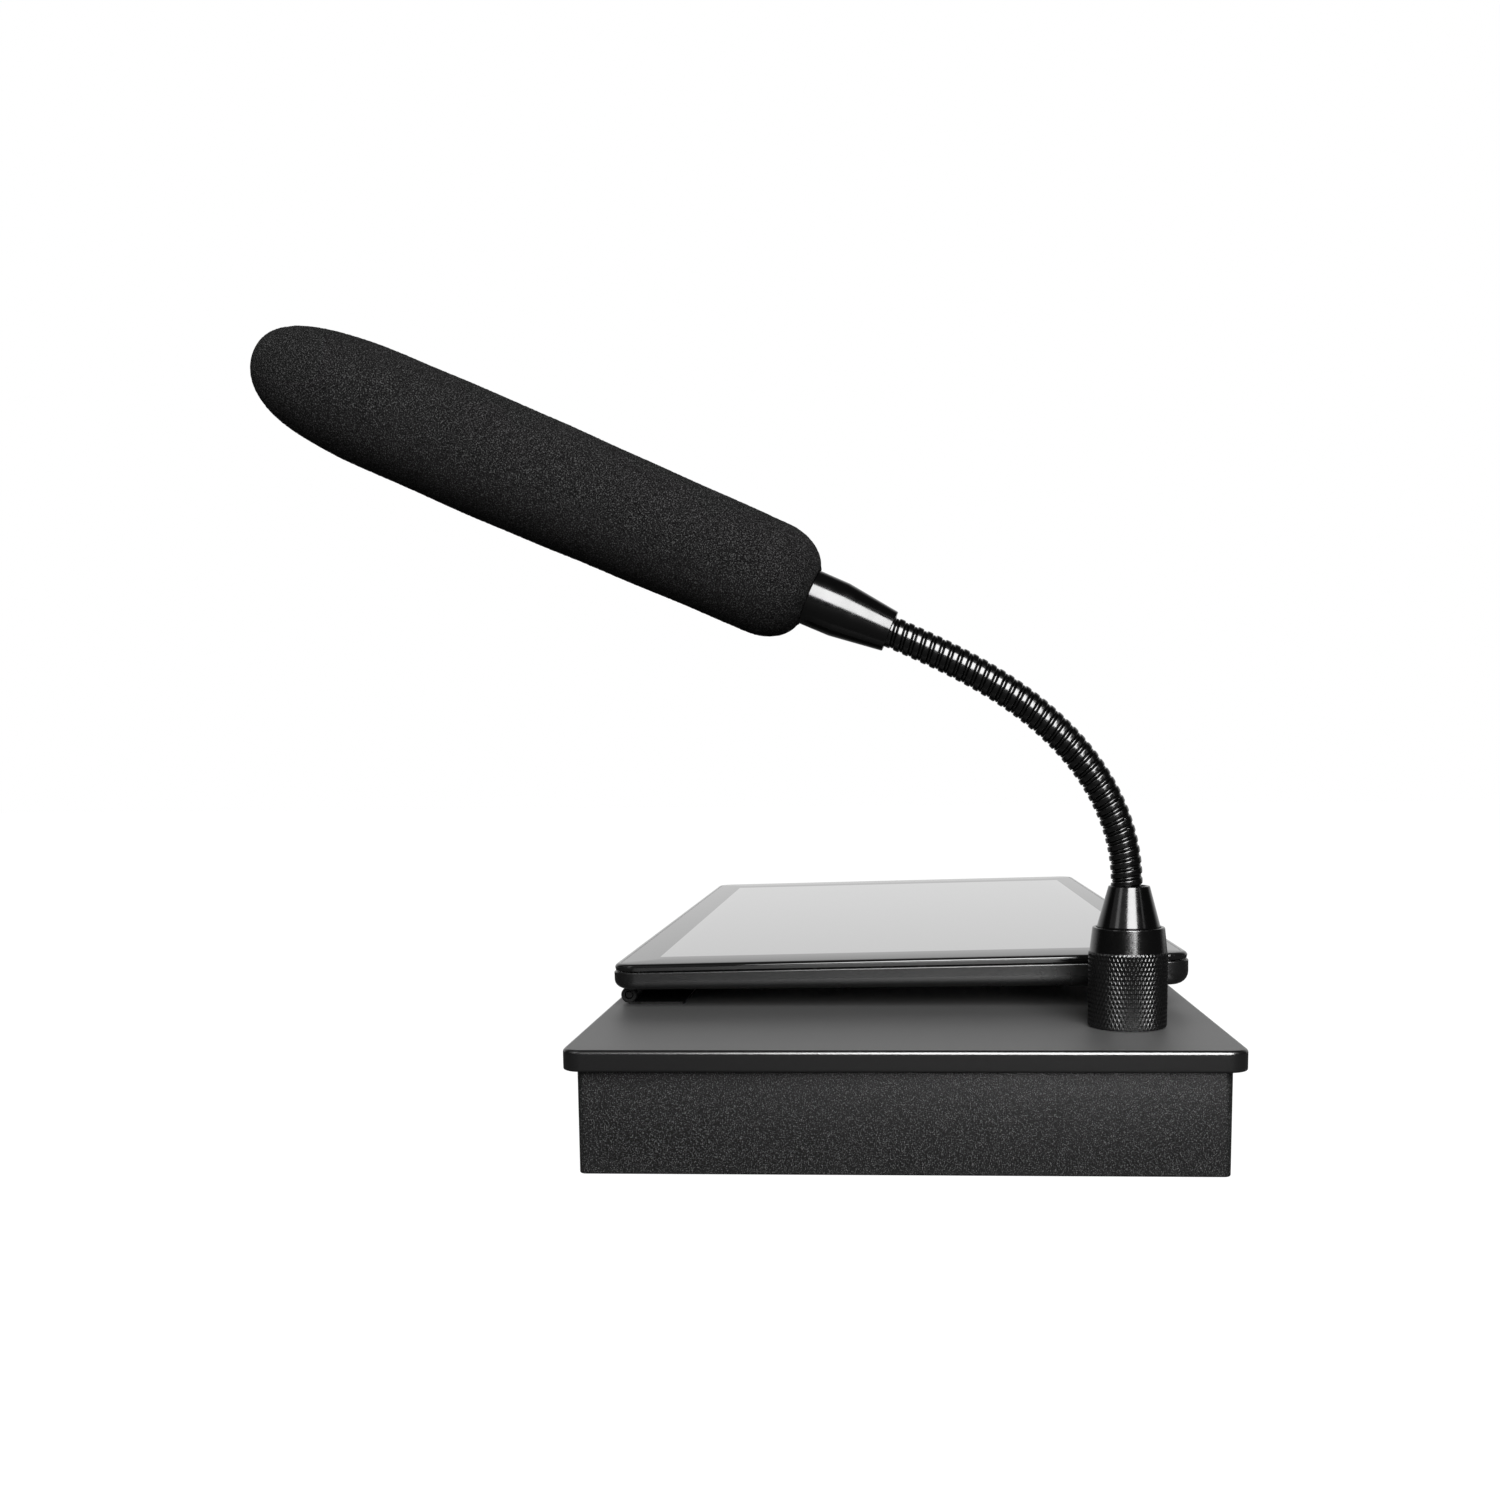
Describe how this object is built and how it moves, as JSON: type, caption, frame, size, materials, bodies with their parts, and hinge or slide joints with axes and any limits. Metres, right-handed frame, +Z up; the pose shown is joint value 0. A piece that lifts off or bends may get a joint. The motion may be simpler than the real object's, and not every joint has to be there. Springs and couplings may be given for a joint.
{
  "type": "gooseneck podium microphone",
  "caption": "Podium console: a gooseneck microphone with a foam windscreen in a screw-ring socket, beside a tilting touch display on a flat desk base.",
  "frame": {"origin": "middle of the base's underside, on the desk", "axes": "+Z up, -Y towards the presenter, +X towards the presenter's right, where the microphone stands"},
  "size_m": [0.5, 0.3429, 0.2909],
  "materials": {
    "powder_coat": "fine-textured matt black powder coat",
    "satin_plate": "satin black anodised",
    "steel": "bright zinc-plated steel",
    "board": "green solder-masked circuit board",
    "black_plastic": "moulded matt black",
    "rubber": "soft black rubber",
    "display_shell": "satin black moulded shell",
    "display_glass": "gloss black-backed touch glass",
    "gloss_black": "polished black lacquer on metal",
    "knurled_black": "black anodised, diamond knurl",
    "tube_black": "matt black anodised",
    "brass": "gold-plated contacts and capsule",
    "foam": "open-cell black acoustic foam"
  },
  "bodies": {
    "base": {"base_housing": "powder_coat", "bottom_cover": "powder_coat", "top_plate": "satin_plate", "case_screw_1": "steel", "case_screw_2": "steel", "case_screw_3": "steel", "case_screw_4": "steel", "main_board": "board", "board_screw_1": "steel", "board_screw_2": "steel", "board_screw_3": "steel", "board_screw_4": "steel", "power_inlet": "black_plastic", "network_port": "steel", "video_port": "steel", "audio_output": "black_plastic", "hinge_rail": "satin_plate", "hinge_pin": "steel", "rest_bumper_left": "rubber", "rest_bumper_right": "rubber", "display_cable": "black_plastic", "mic_socket": "steel", "socket_nut": "steel", "socket_insert": "black_plastic"},
    "display": {"display_rear_cover": "display_shell", "display_frame": "display_shell", "cover_glass": "display_glass", "lcd_panel": "black_plastic", "display_board": "board", "hinge_leaf": "satin_plate"},
    "mic_plug": {"plug_body": "steel", "plug_cone": "gloss_black", "plug_insert": "black_plastic", "contact_pin_1": "brass", "contact_pin_2": "brass", "contact_pin_3": "brass", "neck_segment_1": "gloss_black", "neck_cable_1": "rubber"},
    "locking_ring": {"locking_ring": "knurled_black"},
    "neck_2": {"neck_segment_2": "gloss_black", "neck_cable_2": "rubber"},
    "neck_3": {"neck_segment_3": "gloss_black", "neck_cable_3": "rubber"},
    "neck_4": {"neck_segment_4": "gloss_black", "neck_cable_4": "rubber"},
    "neck_5": {"neck_segment_5": "gloss_black", "neck_cable_5": "rubber"},
    "neck_6": {"neck_segment_6": "gloss_black", "neck_cable_6": "rubber"},
    "neck_7": {"neck_segment_7": "gloss_black", "neck_cable_7": "rubber"},
    "mic_head": {"neck_segment_8": "gloss_black", "neck_cable_8": "rubber", "ferrule": "gloss_black", "mic_tube": "tube_black", "capsule": "brass", "capsule_gasket": "rubber", "preamp_board": "board"},
    "windscreen": {"windscreen": "foam"}
  },
  "joints": [
    {"name": "display_tilt", "type": "hinge", "parent": "base", "child": "display", "pos_m": [-0.036, -0.1072, 0.0471], "axis": [1, 0, 0], "range_deg": [0, 30]},
    {"name": "mic_unplug", "type": "slide", "parent": "base", "child": "mic_plug", "axis": [0, 0, 1], "range_m": [0, 0.025]},
    {"name": "locking_ring_turn", "type": "hinge", "parent": "mic_plug", "child": "locking_ring", "pos_m": [0.2003, 0.081, 0.06], "axis": [0, 0, 1], "continuous": true},
    {"name": "neck_bend_1", "type": "hinge", "parent": "mic_plug", "child": "neck_2", "pos_m": [0.2003, 0.07891, 0.10987], "axis": [1, 0, 0], "range_deg": [-22, 8]},
    {"name": "neck_swing_1", "type": "hinge", "parent": "neck_2", "child": "neck_3", "pos_m": [0.2003, 0.07307, 0.125], "axis": [0, 0.8878, 0.4602], "range_deg": [-12, 12]},
    {"name": "neck_bend_2", "type": "hinge", "parent": "neck_3", "child": "neck_4", "pos_m": [0.2003, 0.0642, 0.13859], "axis": [1, 0, 0], "range_deg": [-17.6, 6.4]},
    {"name": "neck_swing_2", "type": "hinge", "parent": "neck_4", "child": "neck_5", "pos_m": [0.2003, 0.05305, 0.15038], "axis": [0, 0.6694, 0.7429], "range_deg": [-12, 12]},
    {"name": "neck_bend_3", "type": "hinge", "parent": "neck_5", "child": "neck_6", "pos_m": [0.2003, 0.04026, 0.16039], "axis": [1, 0, 0], "range_deg": [-13.2, 4.8]},
    {"name": "neck_swing_3", "type": "hinge", "parent": "neck_6", "child": "neck_7", "pos_m": [0.2003, 0.0264, 0.16885], "axis": [0, 0.4804, 0.8771], "range_deg": [-12, 12]},
    {"name": "neck_bend_4", "type": "hinge", "parent": "neck_7", "child": "mic_head", "pos_m": [0.2003, 0.01188, 0.17615], "axis": [1, 0, 0], "range_deg": [-8.8, 3.2]},
    {"name": "windscreen_slide", "type": "slide", "parent": "mic_head", "child": "windscreen", "axis": [0, -0.9164, 0.4003], "range_m": [0, 0.21]}
  ],
  "couplings": [
    {"joint": "neck_bend_2", "follows": "neck_bend_1", "ratio": 0.8},
    {"joint": "neck_swing_2", "follows": "neck_swing_1", "ratio": 1},
    {"joint": "neck_bend_3", "follows": "neck_bend_1", "ratio": 0.6},
    {"joint": "neck_swing_3", "follows": "neck_swing_1", "ratio": 1},
    {"joint": "neck_bend_4", "follows": "neck_bend_1", "ratio": 0.4}
  ]
}
